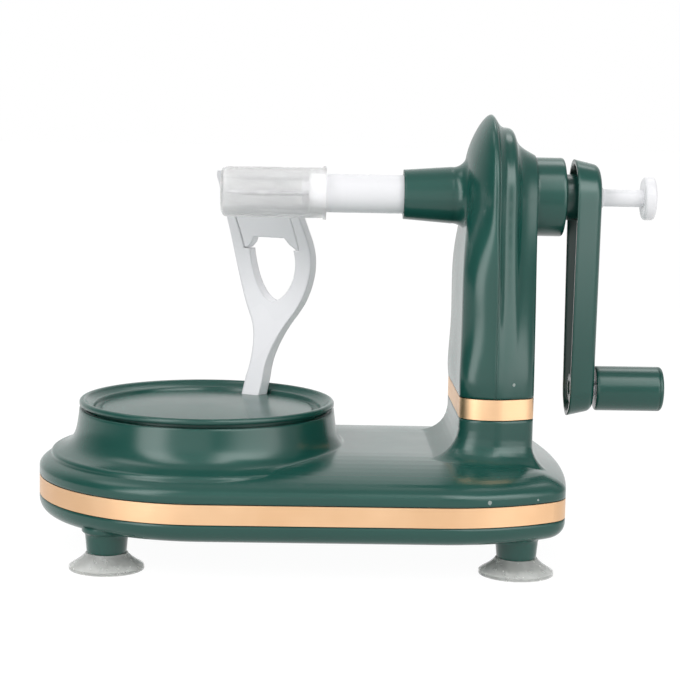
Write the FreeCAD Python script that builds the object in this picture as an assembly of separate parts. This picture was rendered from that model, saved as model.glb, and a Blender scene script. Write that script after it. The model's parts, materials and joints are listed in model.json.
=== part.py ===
import FreeCAD, Part
import math, os

# Hand cranked apple peeler: a fork spindle driven by a crank, and a geared tray that
# carries a spring loaded peeling arm round the apple. All lengths are in millimetres.
# X runs from the tray towards the crank, Y away from the viewer and Z up.
# Each piece is modelled with the tray's axis at X = 0 and the table at Z = 0.

# Overall layout
spindle_height = 149.5
running_gap = 0.05
press_gap = 0.02
seat_gap = 0.2
moving_gap = 0.3

# Gears
gear_module = 1.25
pressure_angle = 25.0
tooth_height = 0.9
root_clearance = 0.3
backlash = 0.12
pinion_teeth = 12
idler_teeth = 24
compound_teeth = 48
tray_gear_teeth = 72
bevel_teeth = 16
bevel_face = 5.0
bevel_backlash = 0.3
gear_width = 5.0
tray_gear_width = 5.5
lower_gear_z = 22.3
tray_gear_z = 30.0
tray_gear_web = 3.0
tray_gear_rim = 5.0
gear_hub_radius = 5.5
gear_hub_rise = 2.0

# Shafts, pins and bushes
shaft_radius = 3.0
shaft_foot_z = 17.9
shaft_bush_radius = 5.0
pin_radius = 2.5
pin_top = 38.6
bracket_z = 127.0
bracket_thickness = 3.0

# Base
base_half_width = 70.0
base_reach = 150.0
base_side_straight = 95.0
base_side_radius = 80.0
base_end_radius = 300.0
base_corner_radius = 14.0
base_bottom_z = 15.5
base_band_z = 23.4
base_band_height = 7.9
base_band_wall = 1.9
band_gap = 0.35
deck_z = 44.5
crown_width = 45.0
crown_height = 10.0
crown_steps = 16
crown_spacing = 1.6
crown_corner_taper = 0.12
bottom_edge_radius = 6.0
cover_wall = 2.4
cover_floor = 2.2
deck_wall = 2.6
skirt_wall = 1.9
skirt_depth = 2.4

# Collar under the tray
collar_outer = 53.5
collar_wall = 2.2
collar_top_z = 58.3
collar_waist_share = 0.1
collar_waist_z = 48.7
collar_bend_share = 0.11
collar_bend_z = 44.0
collar_foot_margin = 4.9
collar_foot_z = 41.5
collar_foot_edge = 1.5
collar_low_z = 38.0

# Feet
foot_side_margin = 24.0
foot_left_margin = 32.4
foot_right_margin = 22.8
foot_radius = 8.6
foot_bottom_z = 6.5
cup_radius = 15.1
cup_lip = 1.3
cup_knob_radius = 3.5
cup_knob_height = 5.5

# Column
column_band_z = 60.7
column_band_height = 8.3
column_band_wall = 1.9
column_wall = 2.2
column_skirt = 14.0
foot_flare_tray = 12.6
foot_flare_side = 7.9
foot_flare_crank = 6.4
foot_heights = (0.0, 0.2, 0.7, 1.5, 2.7, 4.2, 6.1, 8.4, 11.5)
foot_sink = 0.1
foot_low_z = 38.4
seam_offset = -2.0
column_half_depth = 15.0

# Nozzle on the tray side and boss on the crank side
nozzle_start = 80.8
nozzle_radius = 10.3
nozzle_neck_x = 100.5
nozzle_neck_radius = 11.8
nozzle_root_x = 107.2
nozzle_root_radius = 17.4
boss_end = 147.4
boss_radius = 16.4

# Spindle, fork and ejector
tube_start = 41.5
tube_radius = 8.05
tube_end = 101.0
tube_bore = 6.5
journal_radius = 5.0
journal_end = 157.8
fork_socket_radius = 7.45
fork_socket_depth = 15.5
prong_radius = 1.1
prong_circle = 5.9
prong_tip_x = 6.9
prong_taper = 7.0
prong_count = 4
rod_radius = 3.6
rod_bore = 3.7
ejector_radius = 4.4
ejector_thickness = 3.0
button_start = 181.0
button_thickness = 4.9
button_radius = 9.0
button_edge = 1.3
bush_wall = 1.1
rear_bush_radius = 8.0
rod_bush_radius = 4.2
rod_bush_start = 158.0
rod_bush_proud = 1.8

# Protective cap
cap_start = 4.8
cap_end = 48.7
cap_radius = 10.4
cap_wall = 1.0
cap_mouth_length = 6.6
cap_flange_radius = 11.2
cap_flange_thickness = 1.4
cap_edge = 2.6

# Crank and handle
crank_length = 80.5
crank_open_x = 151.9
crank_face_x = 162.4
crank_top_radius = 15.9
crank_low_radius = 11.7
crank_wall = 1.8
crank_taper = 2.4
crank_edge = 3.4
crank_hub_radius = 9.6
crank_hub_x = 147.9
crank_pin_boss = 6.0
set_screw_x = 150.0
set_screw_length = 4.2
handle_radius = 9.4
handle_start = 163.6
handle_cap_x = 190.3
handle_end = 192.0
handle_edge = 1.6
handle_pin_radius = 3.0
handle_pin_head = 5.0
handle_pin_head_thickness = 2.4
handle_pocket = 6.0
handle_pocket_depth = 5.2

# Tray
tray_radius = 53.5
tray_inner_radius = 50.9
tray_floor_radius = 44.3
tray_top_z = 62.2
tray_lip_z = 60.0
tray_floor_z = 58.5
tray_crown_z = 60.1
tray_trough_z = 57.7
tray_step_radius = 47.8
tray_step_z = 59.5
tray_under_z = 56.0
tray_neck_radius = 50.6
tray_neck_bottom = 53.5
tray_hub_radius = 8.0
tray_hub_bottom = 38.0
tray_boss_radius = 3.6
tray_boss_circle = 20.0
post_radius = 5.0
post_shoulder_radius = 7.5
post_top = 55.3

# Peeling arm. The bow is its inner face seen from the side, as (radius, height), and the side
# and the window are seen square on, as (half width, height).
arm_azimuth = 62.6
arm_pivot_radius = 39.5
arm_pivot_z = 52.3
arm_foot_z = 48.6
arm_foot_half = 4.2
arm_head_half = 19.1
arm_top_half = 16.8
arm_top_z = 156.5
arm_foot_depth = 8.0
arm_head_depth = 5.2
arm_slot_inner = 1.4
arm_slot_outer = 3.4
arm_slot_side = 0.5
window_ledge_z = 121.5
carrier_seat_half = 13.9
arm_bow = [(32.6, arm_foot_z), (37.2, 58.5), (45.6, 75.0), (55.1, 92.0), (57.9, 105.0), (55.9, 120.0),
           (47.6, 135.0), (39.0, 149.0), (33.9, arm_top_z)]
arm_side = [(arm_foot_half, 66.0), (5.6, 82.0), (8.0, 88.0), (12.2, 95.0), (16.4, 105.0),
            (18.7, 115.0), (arm_head_half, 126.0)]
window_side = [(11.0, window_ledge_z), (10.9, 114.0), (8.7, 106.2), (4.6, 100.4), (0.0, 97.9)]
carrier_gap = 0.3
carrier_bottom_z = 121.9
carrier_panel_z = 127.0
carrier_panel_top = 143.4
carrier_top_z = 154.6
carrier_post_half = 10.6
carrier_inset = 0.2
carrier_pivot_z = 141.0
carrier_pin_radius = 1.2
blade_z = 148.6
blade_height = 7.4
blade_thickness = 0.8
blade_slot = 1.8
blade_lean = 31.0
lug_thickness = 2.0
arm_pin_radius = 1.5
spring_coil_radius = 2.5
spring_wire_radius = 0.5
spring_pitch = 1.2
spring_length = 4.8

# Screws
screw_radius = 1.5
screw_head_radius = 2.8
screw_head_height = 1.8
screw_pilot = 1.25
screw_boss_radius = 3.9
base_screw_margin = 18.0
base_screw_left_y = 30.0
base_screw_right_margin = 46.0
base_screw_length = 16.0
column_screw_heights = (84.0, 118.0)
column_screw_y = 17.0
column_post_radius = 3.4

# Derived places
pinion_radius = pinion_teeth * gear_module / 2
tray_gear_radius = tray_gear_teeth * gear_module / 2
compound_x = tray_gear_radius + pinion_radius
idler_x = compound_x + (compound_teeth + idler_teeth) * gear_module / 2
shaft_x = idler_x + (idler_teeth + pinion_teeth) * gear_module / 2
bevel_radius = bevel_teeth * gear_module / 2
seam_x = shaft_x + seam_offset
handle_z = spindle_height - crank_length
cover_inside_z = base_bottom_z + cover_floor
base_band_top = base_band_z + base_band_height
column_band_top = column_band_z + column_band_height
compound_top_z = tray_gear_z + tray_gear_width + 0.5
idler_top_z = lower_gear_z + gear_width + gear_hub_rise
tray_screw_angles = (arm_azimuth - 180, arm_azimuth - 60, arm_azimuth + 60)
collar_foot_radius = base_half_width - collar_foot_margin
foot_left_x = foot_left_margin - base_half_width
foot_right_x = base_reach - foot_right_margin
foot_y = base_half_width - foot_side_margin
base_screw_left_x = base_screw_margin - base_half_width
base_screw_right_x = base_reach - base_screw_right_margin
base_screw_right_y = base_half_width - base_screw_margin
beyond = 2 * base_half_width
to_origin = FreeCAD.Vector((base_half_width - handle_end) / 2, 0, 0)

origin = FreeCAD.Vector(0, 0, 0)
along_x = FreeCAD.Vector(1, 0, 0)
along_y = FreeCAD.Vector(0, 1, 0)
up = FreeCAD.Vector(0, 0, 1)

os.makedirs("parts", exist_ok=True)


def vec(x, y, z):
    return FreeCAD.Vector(x, y, z)


def save(name, shape):
    placed = shape.copy()
    placed.translate(to_origin)
    placed.exportStep("parts/" + name + ".step")
    bounds = placed.BoundBox
    print(name, len(placed.Solids), "solids, valid", placed.isValid(),
          "z %.1f to %.1f" % (bounds.ZMin, bounds.ZMax))


def upright(radius, x, y, low, high):
    return Part.makeCylinder(radius, high - low, vec(x, y, low), up)


def level(radius, low, high, y=0.0, z=spindle_height):
    """A cylinder along X between two places on that axis."""
    return Part.makeCylinder(radius, high - low, vec(low, y, z), along_x)


def across(radius, x, z, low, high):
    """A cylinder along Y between two places on that axis."""
    return Part.makeCylinder(radius, high - low, vec(x, low, z), along_y)


def turned(points, axis_point, axis):
    """A solid turned from a closed outline about an axis."""
    return Part.Face(Part.makePolygon(points + points[:1])).revolve(axis_point, axis, 360)


def turned_on_spindle(outline):
    """A solid turned about the spindle axis, from (x, radius) corners."""
    points = [vec(x, 0, spindle_height + radius) for x, radius in outline]
    return turned(points, vec(0, 0, spindle_height), along_x)


def turned_on_tray(outline):
    """A solid turned about the tray's axis, from (radius, z) corners."""
    return turned([vec(radius, 0, z) for radius, z in outline], origin, up)


def edges_where(shape, test):
    return [edge for edge in shape.Edges if test(edge)]


def lies_at(edge, axis, place):
    """True if the whole edge lies in the plane at this place along the axis."""
    bounds = edge.BoundBox
    low = (bounds.XMin, bounds.YMin, bounds.ZMin)[axis]
    high = (bounds.XMax, bounds.YMax, bounds.ZMax)[axis]
    return abs(low - place) < 0.01 and abs(high - place) < 0.01


# Plan outline of the base

def arc_edge(centre, radius, start, end):
    """A circular edge in plan between two angles in degrees."""
    def point(angle):
        turn = math.radians(angle)
        return vec(centre[0] + radius * math.cos(turn), centre[1] + radius * math.sin(turn), 0)
    return Part.Arc(point(start), point((start + end) / 2), point(end)).toShape()


def corner_centre(inset, radius):
    """Centre of the near right corner: inside touches the side arc and the end arc."""
    side = (base_side_straight, base_side_radius - base_half_width)
    end = (base_reach - base_end_radius, 0.0)
    from_side = base_side_radius - inset - radius
    from_end = base_end_radius - inset - radius
    span = math.hypot(side[0] - end[0], side[1] - end[1])
    along = (from_end ** 2 - from_side ** 2 + span ** 2) / (2 * span)
    off = math.sqrt(from_end ** 2 - along ** 2)
    ux = (side[0] - end[0]) / span
    uy = (side[1] - end[1]) / span
    return (end[0] + along * ux + off * uy, end[1] + along * uy - off * ux)


def plan_wire(inset, corner_radius, z):
    """The base's outline in plan, drawn in from its edge by an inset, at a height."""
    half = base_half_width - inset
    corner = corner_centre(inset, corner_radius)
    side = (base_side_straight, base_side_radius - base_half_width)
    end = (base_reach - base_end_radius, 0.0)
    side_angle = math.degrees(math.atan2(corner[1] - side[1], corner[0] - side[0]))
    end_angle = math.degrees(math.atan2(corner[1] - end[1], corner[0] - end[0]))
    wire = Part.Wire([
        arc_edge((0, 0), half, 90, 270),
        Part.makeLine(vec(0, -half, 0), vec(base_side_straight, -half, 0)),
        arc_edge(side, base_side_radius - inset, -90, side_angle),
        arc_edge(corner, corner_radius, side_angle, end_angle),
        arc_edge(end, base_end_radius - inset, end_angle, -end_angle),
        arc_edge((corner[0], -corner[1]), corner_radius, -end_angle, -side_angle),
        arc_edge((side[0], -side[1]), base_side_radius - inset, -side_angle, 90),
        Part.makeLine(vec(base_side_straight, half, 0), vec(0, half, 0)),
    ])
    wire.translate(vec(0, 0, z))
    return wire


def plan_prism(inset, low, high):
    """The base seen from above, drawn in from its edge by an inset, between two heights."""
    face = Part.Face(plan_wire(inset, base_corner_radius - inset, low))
    return face.extrude(vec(0, 0, high - low))


def crown_z(inset):
    """Height of the crowned deck at a distance in from the base's edge."""
    share = 1.0 - min(max(inset / crown_width, 0.0), 1.0)
    return deck_z - crown_height * (1.0 - math.sqrt(1.0 - share ** 2))


def crowned_plan(low, wall):
    """Upright sides that roll over into the crowned deck, drawn in by a wall all round."""
    wires = [plan_wire(wall, base_corner_radius - wall * crown_corner_taper, low)]
    for step in range(crown_steps + 1):
        turn = math.pi / 2 * (step / crown_steps) ** crown_spacing
        slope = math.atan2(crown_width * math.sin(turn), crown_height * math.cos(turn))
        inset = crown_width * (1.0 - math.cos(turn)) + wall * math.cos(slope)
        z = deck_z - crown_height * (1.0 - math.sin(turn)) - wall * math.sin(slope)
        wires.append(plan_wire(inset, base_corner_radius - inset * crown_corner_taper, z))
    return Part.makeLoft(wires, True, True)


def edge_distance(x, y):
    """How far a place in plan lies in from the base's edge, away from its crank side corners."""
    if x < 0:
        return base_half_width - math.hypot(x, y)
    run = max(x - base_side_straight, 0.0)
    from_side = base_side_radius - math.hypot(run, abs(y) + base_side_radius - base_half_width)
    from_end = base_end_radius - math.hypot(x + base_end_radius - base_reach, y)
    return min(from_side, from_end)


# Column sections. Each outline point is (distance from the shaft along X, half width along Y).
# The top form is also the profile that is turned over the spindle to make the domed head.
column_top_form = [(-13.3, 13.0), (-13.4, 20.6), (-7.0, 33.0), (-3.6, 33.8),
                   (-2.2, 34.15), (-1.4, 31.2), (0.4, 29.4),
                   (2.4, 27.4), (5.0, 30.2), (6.6, 25.2),
                   (8.0, 20.8), (10.5, 20.0), (15.2, 17.4)]
column_low_form = [(-16.0, 28.5), (-16.0, 34.0), (-9.5, 37.5), (-2.0, 37.5),
                   (-1.0, 37.5), (0.0, 37.4), (1.0, 37.2),
                   (3.0, 36.8), (5.0, 36.2), (7.0, 35.3),
                   (10.0, 34.0), (14.5, 33.0), (14.5, 28.0)]
face_points = 4
column_stations = [(column_band_top, 1.0, 1.0), (88.0, 0.97, 0.92), (108.0, 0.9, 0.6),
                   (128.0, 0.68, 0.2), (142.0, 0.12, 0.02), (spindle_height, 0.0, 0.0)]


def column_points(front, rear, inset):
    """Half outline of the column: front is how boxy the tray side is, rear the crank side."""
    points = []
    shrink = 1.0 - inset / column_half_depth
    for index, (top, low) in enumerate(zip(column_top_form, column_low_form)):
        share = front if index < face_points else rear
        if index == face_points:
            share = (front + rear) / 2
        x = top[0] + (low[0] - top[0]) * share
        y = top[1] + (low[1] - top[1]) * share
        points.append((shaft_x + x * shrink, y - inset))
    return points


def bezier(poles):
    curve = Part.BezierCurve()
    curve.setPoles(poles)
    return curve.toShape()


def outline_wire(far):
    """A closed wire symmetric about Y = 0, from the control points of its far half."""
    near = [vec(point.x, -point.y, point.z) for point in far]
    edges = [bezier(near[start:start + 4]) for start in (0, 3, 6, 9)]
    edges.append(Part.makeLine(near[-1], far[-1]))
    back = far[::-1]
    edges += [bezier(back[start:start + 4]) for start in (0, 3, 6, 9)]
    edges.append(Part.makeLine(back[-1], near[0]))
    return Part.Wire(edges)


def column_wire(front, rear, inset, z):
    return outline_wire([vec(x, y, z) for x, y in column_points(front, rear, inset)])


def column_prism(inset, low, high):
    return Part.Face(column_wire(1.0, 1.0, inset, low)).extrude(vec(0, 0, high - low))


def column_body(inset, low):
    """The column from the band up: lofted walls and a head turned over the spindle."""
    wires = [column_wire(front, rear, inset, z) for z, front, rear in column_stations]
    walls = Part.makeLoft(wires, True, False)
    half = [vec(x, y, spindle_height) for x, y in column_points(0.0, 0.0, inset)]
    edges = [bezier(half[start:start + 4]) for start in (0, 3, 6, 9)]
    edges.append(Part.makeLine(half[-1], vec(half[-1].x, 0, spindle_height)))
    edges.append(Part.makeLine(vec(half[-1].x, 0, spindle_height), vec(half[0].x, 0, spindle_height)))
    edges.append(Part.makeLine(vec(half[0].x, 0, spindle_height), half[0]))
    head = Part.Face(Part.Wire(edges)).revolve(vec(0, 0, spindle_height), along_x, 180)
    solid = walls.fuse(head)
    if low < column_band_top:
        solid = solid.fuse(column_prism(inset, low, column_band_top))
    return solid


# Gears

def polar(radius, angle):
    return vec(radius * math.cos(angle), radius * math.sin(angle), 0)


def involute_angle(radius, base):
    if radius <= base:
        return 0.0
    roll = math.sqrt((radius / base) ** 2 - 1)
    return roll - math.atan(roll)


def gear_wire(teeth, first_tooth, slack):
    """Outline of a spur gear with one tooth centred at the first tooth angle."""
    pitch = teeth * gear_module / 2
    base = pitch * math.cos(math.radians(pressure_angle))
    tip = pitch + tooth_height * gear_module
    root = pitch - (tooth_height + root_clearance) * gear_module
    half = math.pi / 2 / teeth - slack / 2 / pitch + involute_angle(pitch, base)
    low = max(root, base)
    step = 2 * math.pi / teeth
    edges = []
    for index in range(teeth):
        middle = math.radians(first_tooth) + index * step
        widths = [half - involute_angle(radius, base) for radius in (low, (low + tip) / 2, tip)]
        radii = (low, (low + tip) / 2, tip)
        rise = [polar(radius, middle - width) for radius, width in zip(radii, widths)]
        fall = [polar(radius, middle + width) for radius, width in zip(radii, widths)]
        fall.reverse()
        next_rise = polar(low, middle + step - widths[0])
        edges.append(Part.Arc(*rise).toShape())
        edges.append(Part.Arc(rise[2], polar(tip, middle), fall[0]).toShape())
        edges.append(Part.Arc(*fall).toShape())
        valley_start = fall[2]
        valley_end = next_rise
        if root < base:
            valley_start = polar(root, middle + widths[0])
            valley_end = polar(root, middle + step - widths[0])
            edges.append(Part.makeLine(fall[2], valley_start))
        bottom = polar(root, middle + step / 2)
        edges.append(Part.Arc(valley_start, bottom, valley_end).toShape())
        if root < base:
            edges.append(Part.makeLine(valley_end, next_rise))
    return Part.Wire(edges)


def spur_gear(teeth, first_tooth, x, low, high):
    gear = Part.Face(gear_wire(teeth, first_tooth, backlash)).extrude(vec(0, 0, high - low))
    gear.translate(vec(x, 0, low))
    return gear


def bevel_gear(first_tooth):
    """A mitre gear with its apex at the origin and its teeth below it along Z."""
    large = gear_wire(bevel_teeth, first_tooth, bevel_backlash)
    small = large.copy()
    ratio = 1.0 - bevel_face * math.cos(math.radians(45)) / bevel_radius
    small.scale(ratio, origin)
    small.translate(vec(0, 0, -bevel_radius * ratio))
    large.translate(vec(0, 0, -bevel_radius))
    return Part.makeLoft([large, small], True, True)


# Base pieces

def feet_places():
    return [(x, y) for x in (foot_left_x, foot_right_x) for y in (-foot_y, foot_y)]


def base_screw_places():
    left = [(base_screw_left_x, y) for y in (-base_screw_left_y, base_screw_left_y)]
    right = [(base_screw_right_x, y) for y in (-base_screw_right_y, base_screw_right_y)]
    return left + right


def make_foot(x, y):
    """A short tapered stud with a rounded lower edge and a small flare at its root."""
    outline = [(0, foot_bottom_z), (foot_radius - 1.1, foot_bottom_z),
               (foot_radius - 0.6, foot_bottom_z + 0.5), (foot_radius, base_bottom_z - 2.0),
               (foot_radius + 0.4, base_bottom_z - 0.8),
               (foot_radius + 1.4, base_bottom_z), (foot_radius + 1.4, cover_inside_z),
               (0, cover_inside_z)]
    return turned([vec(x + radius, y, z) for radius, z in outline], vec(x, y, 0), up)


def make_bottom_cover():
    outer = plan_prism(0, base_bottom_z, base_band_z - band_gap)
    rim = edges_where(outer, lambda edge: lies_at(edge, 2, base_bottom_z))
    outer = outer.makeFillet(bottom_edge_radius, rim)
    room = plan_prism(cover_wall, cover_inside_z, base_band_z)
    room_rim = edges_where(room, lambda edge: lies_at(edge, 2, cover_inside_z))
    cover = outer.cut(room.makeFillet(bottom_edge_radius - cover_wall, room_rim))
    for x, y in feet_places():
        cover = cover.fuse(make_foot(x, y))
        bore = cup_knob_radius + running_gap
        cover = cover.cut(upright(bore, x, y, foot_bottom_z, foot_bottom_z + cup_knob_height + seat_gap))
    for x, y in base_screw_places():
        cover = cover.fuse(upright(screw_head_radius + 1.8, x, y, base_bottom_z + 1, cover_inside_z + 2))
        seat_z = base_bottom_z + screw_head_height
        cover = cover.cut(upright(screw_head_radius + seat_gap, x, y, 0, seat_z))
        cover = cover.cut(upright(screw_radius + seat_gap, x, y, 0, cover_inside_z + 3))
    seat_top = lower_gear_z - moving_gap
    for x, bore in ((compound_x, pin_radius), (idler_x, pin_radius), (shaft_x, shaft_bush_radius)):
        cover = cover.fuse(upright(bore + 2.5, x, 0, cover_inside_z - 1, seat_top))
        cover = cover.cut(upright(bore + press_gap, x, 0, cover_inside_z, seat_top))
    cover = cover.fuse(upright(post_shoulder_radius + 3, 0, 0, cover_inside_z - 1, seat_top))
    return cover.cut(upright(post_shoulder_radius + press_gap, 0, 0, cover_inside_z, seat_top))


def make_collar():
    """The ring the tray sits on: one long hollow curve that ends in a soft step on the deck."""
    inner = collar_outer - collar_wall
    reach = collar_foot_radius - collar_outer
    top = vec(collar_outer, 0, collar_top_z)
    waist = vec(collar_outer + reach * collar_waist_share, 0, collar_waist_z)
    bend = vec(collar_outer + reach * collar_bend_share, 0, collar_bend_z)
    crest = vec(collar_foot_radius - collar_foot_edge, 0, collar_foot_z)
    turn = vec(collar_foot_radius - 0.25 * collar_foot_edge, 0, collar_foot_z - 0.35 * collar_foot_edge)
    foot = vec(collar_foot_radius, 0, collar_foot_z - collar_foot_edge)
    edges = [
        Part.makeLine(vec(inner, 0, collar_top_z), top),
        bezier([top, waist, bend, crest]),
        Part.Arc(crest, turn, foot).toShape(),
        Part.makeLine(foot, vec(foot.x, 0, collar_low_z)),
        Part.makeLine(vec(foot.x, 0, collar_low_z), vec(inner, 0, collar_low_z)),
        Part.makeLine(vec(inner, 0, collar_low_z), vec(inner, 0, collar_top_z)),
    ]
    return Part.Face(Part.Wire(edges)).revolve(origin, up, 360)


def flare(radius, height):
    """How far a concave foot of this radius stands out at a height over the deck."""
    if height >= radius:
        return 0.0
    return radius - math.sqrt(radius ** 2 - (radius - height) ** 2)


def make_column_foot(top):
    """The column's stub, which flares out into the deck, most of all on the tray side."""
    wires = []
    for height in foot_heights:
        places = []
        for x, y in column_low_form:
            tray_share = min(max(-x / column_half_depth, 0.0), 1.0)
            crank_share = min(max(x / column_half_depth, 0.0), 1.0)
            side_share = y / column_low_form[4][1]
            x -= tray_share * flare(foot_flare_tray, height)
            x += crank_share * flare(foot_flare_crank, height)
            y += side_share * flare(foot_flare_side, height)
            deck = crown_z(edge_distance(shaft_x + x, y)) - foot_sink
            share = height / (top - deck_z)
            places.append(vec(shaft_x + x, y, deck + (top - deck) * share))
        wires.append(outline_wire(places))
        if height == foot_heights[0]:
            wires.insert(0, outline_wire([vec(place.x, place.y, foot_low_z) for place in places]))
    wires.append(column_wire(1.0, 1.0, 0, top))
    return Part.makeLoft(wires, True, True)


def make_top_housing():
    stub_top = column_band_z - band_gap
    room_low = base_band_top + 2.0
    outer = crowned_plan(base_band_top + band_gap, 0.0).fuse(make_column_foot(stub_top))
    skirt_inset = cover_wall + running_gap * 2
    skirt_low = base_band_z - skirt_depth
    skirt = plan_prism(skirt_inset, skirt_low, room_low)
    housing = outer.fuse(skirt).fuse(make_collar())
    lower_room = plan_prism(skirt_inset + skirt_wall, skirt_low, room_low)
    housing = housing.cut(lower_room).cut(crowned_plan(room_low, deck_wall))
    housing = housing.cut(upright(collar_outer - collar_wall, 0, 0, base_band_z, collar_top_z + 1))
    housing = housing.cut(column_prism(column_wall, base_band_z, stub_top + 1))
    for x, y in base_screw_places():
        boss_low = cover_inside_z + 2 + seat_gap
        boss_top = crown_z(edge_distance(x, y) - screw_boss_radius) - moving_gap
        housing = housing.fuse(upright(screw_boss_radius, x, y, boss_low, boss_top))
        housing = housing.cut(upright(screw_pilot, x, y, boss_low, boss_low + base_screw_length))
    for x, gear_top in ((compound_x, compound_top_z), (idler_x, idler_top_z)):
        boss_low = gear_top + moving_gap
        housing = housing.fuse(upright(pin_radius + 2, x, 0, boss_low, deck_z - 1))
        housing = housing.cut(upright(pin_radius + press_gap, x, 0, boss_low, pin_top + seat_gap))
    return housing


def make_base_band():
    outer = plan_prism(0, base_band_z, base_band_top)
    return outer.cut(plan_prism(base_band_wall, base_band_z, base_band_top))


def make_suction_cup(x, y):
    def place(radius, z):
        return vec(x + radius, y, z)

    crown = place(foot_radius - 0.2, foot_bottom_z)
    rim = place(cup_radius, cup_lip)
    lip = place(cup_radius - cup_lip, 0)
    edges = [
        Part.makeLine(place(0, foot_bottom_z), crown),
        smooth([crown, place(10.4, 4.4), place(12.8, 2.7), rim]).toShape(),
        Part.makeLine(rim, place(cup_radius, 0)),
        Part.makeLine(place(cup_radius, 0), lip),
        smooth([lip, place(10.8, 1.5), place(6.4, 3.0), place(0, 3.6)]).toShape(),
        Part.makeLine(place(0, 3.6), place(0, foot_bottom_z)),
    ]
    cup = Part.Face(Part.Wire(edges)).revolve(vec(x, y, 0), up, 360)
    knob_top = foot_bottom_z + cup_knob_height
    return cup.fuse(upright(cup_knob_radius, x, y, foot_bottom_z - 0.5, knob_top))


def make_base_screws():
    low = base_bottom_z
    screws = []
    for x, y in base_screw_places():
        head = upright(screw_head_radius, x, y, low, low + screw_head_height)
        shank = upright(screw_pilot - press_gap, x, y, low + screw_head_height, low + base_screw_length)
        screws.append(head.fuse(shank))
    return Part.makeCompound(screws)


# Column pieces

def make_column_band():
    outer = column_prism(0, column_band_z, column_band_top)
    return outer.cut(column_prism(column_band_wall, column_band_z, column_band_top))


def column_screw_places():
    return [(y, z) for z in column_screw_heights for y in (-column_screw_y, column_screw_y)]


def make_nozzle():
    """The nozzle's outer form: a slim cone that flares where it meets the column."""
    def place(x, radius):
        return vec(x, 0, spindle_height + radius)

    bend = place(0.72 * nozzle_root_x + 0.28 * nozzle_neck_x,
                 0.72 * nozzle_neck_radius + 0.28 * nozzle_root_radius)
    edges = [
        Part.makeLine(place(nozzle_start, 0), place(nozzle_start, nozzle_radius)),
        Part.makeLine(place(nozzle_start, nozzle_radius), place(nozzle_neck_x, nozzle_neck_radius)),
        Part.Arc(place(nozzle_neck_x, nozzle_neck_radius), bend,
                 place(nozzle_root_x, nozzle_root_radius)).toShape(),
        Part.makeLine(place(nozzle_root_x, nozzle_root_radius), place(shaft_x - 9, 0)),
        Part.makeLine(place(shaft_x - 9, 0), place(nozzle_start, 0)),
    ]
    return Part.Face(Part.Wire(edges)).revolve(vec(0, 0, spindle_height), along_x, 360)


def slab_across(low, thickness):
    """A level slab that reaches past the column on every side."""
    return Part.makeBox(beyond, beyond, thickness, vec(shaft_x - beyond / 2, -beyond / 2, low))


def make_column_shell(front):
    """One half of the column: the front half faces the tray, the rear half the crank."""
    start = column_band_top + band_gap
    outer = column_body(0, column_band_top)
    outer = outer.cut(slab_across(column_band_top, band_gap))
    skirt_inset = column_wall + running_gap
    skirt_low = start - column_skirt
    skirt = column_prism(skirt_inset, skirt_low, start + 1)
    skirt = skirt.fuse(column_prism(column_wall / 2, start, start + skirt_wall))
    if front:
        outer = outer.fuse(make_nozzle())
    else:
        boss = level(boss_radius, shaft_x + 6, boss_end)
        rim = edges_where(boss, lambda edge: lies_at(edge, 0, boss_end))
        outer = outer.fuse(boss.makeFillet(1.0, rim))
    room = column_body(column_wall, column_band_top)
    skirt_room = column_prism(skirt_inset + skirt_wall, skirt_low - 1, start + skirt_wall + 1)
    shell = outer.cut(room).fuse(skirt.cut(skirt_room))
    if front:
        keep = Part.makeBox(beyond, beyond, 2 * beyond, vec(seam_x - beyond, -beyond / 2, 0))
        shell = shell.common(keep)
        bore = tube_radius + running_gap + bush_wall + press_gap
        shell = shell.cut(level(bore, nozzle_start + 1.5, shaft_x - 10))
        shell = shell.cut(level(tube_radius + moving_gap, nozzle_start - 1, nozzle_start + 2))
        for y, z in column_screw_places():
            shell = shell.fuse(level(column_post_radius, shaft_x - 14.5, seam_x, y, z))
            shell = shell.cut(level(screw_pilot, seam_x - 8, seam_x, y, z))
        return shell
    keep = Part.makeBox(beyond, beyond, 2 * beyond, vec(seam_x, -beyond / 2, 0))
    shell = shell.common(keep)
    shell = shell.cut(level(rear_bush_radius + press_gap, shaft_x + 5, boss_end + 1))
    for y, z in column_screw_places():
        face = shaft_x + 14.0
        shell = shell.fuse(level(column_post_radius, seam_x, face, y, z))
        shell = shell.cut(level(screw_radius + seat_gap, seam_x, face + 2, y, z))
        shell = shell.cut(level(screw_head_radius + seat_gap, face - 6, face + 4, y, z))
    return shell


def make_column_screws():
    screws = []
    for y, z in column_screw_places():
        seat = shaft_x + 8.0
        head = level(screw_head_radius, seat, seat + screw_head_height, y, z)
        screws.append(head.fuse(level(screw_pilot - press_gap, seam_x - 7.5, seat, y, z)))
    return Part.makeCompound(screws)


def make_shaft_bracket():
    """Shelf across the inside of the column that holds the upper end of the drive shaft."""
    room = column_body(column_wall + seat_gap, column_band_top)
    shelf = room.common(slab_across(bracket_z, bracket_thickness))
    return shelf.cut(upright(shaft_bush_radius + press_gap, shaft_x, 0, 0, 200))


def ring(radius, bore, x, low, high):
    return upright(radius, x, 0, low, high).cut(upright(bore, x, 0, low - 1, high + 1))


def make_front_bush():
    bush = level(tube_radius + running_gap + bush_wall, nozzle_start + 1.6, tube_end - 2)
    return bush.cut(level(tube_radius + running_gap, nozzle_start, tube_end))


def make_rear_bush():
    bush = level(rear_bush_radius, shaft_x + 13.6, boss_end)
    return bush.cut(level(journal_radius + running_gap, shaft_x, boss_end + 1))


# Gear train pieces

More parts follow.
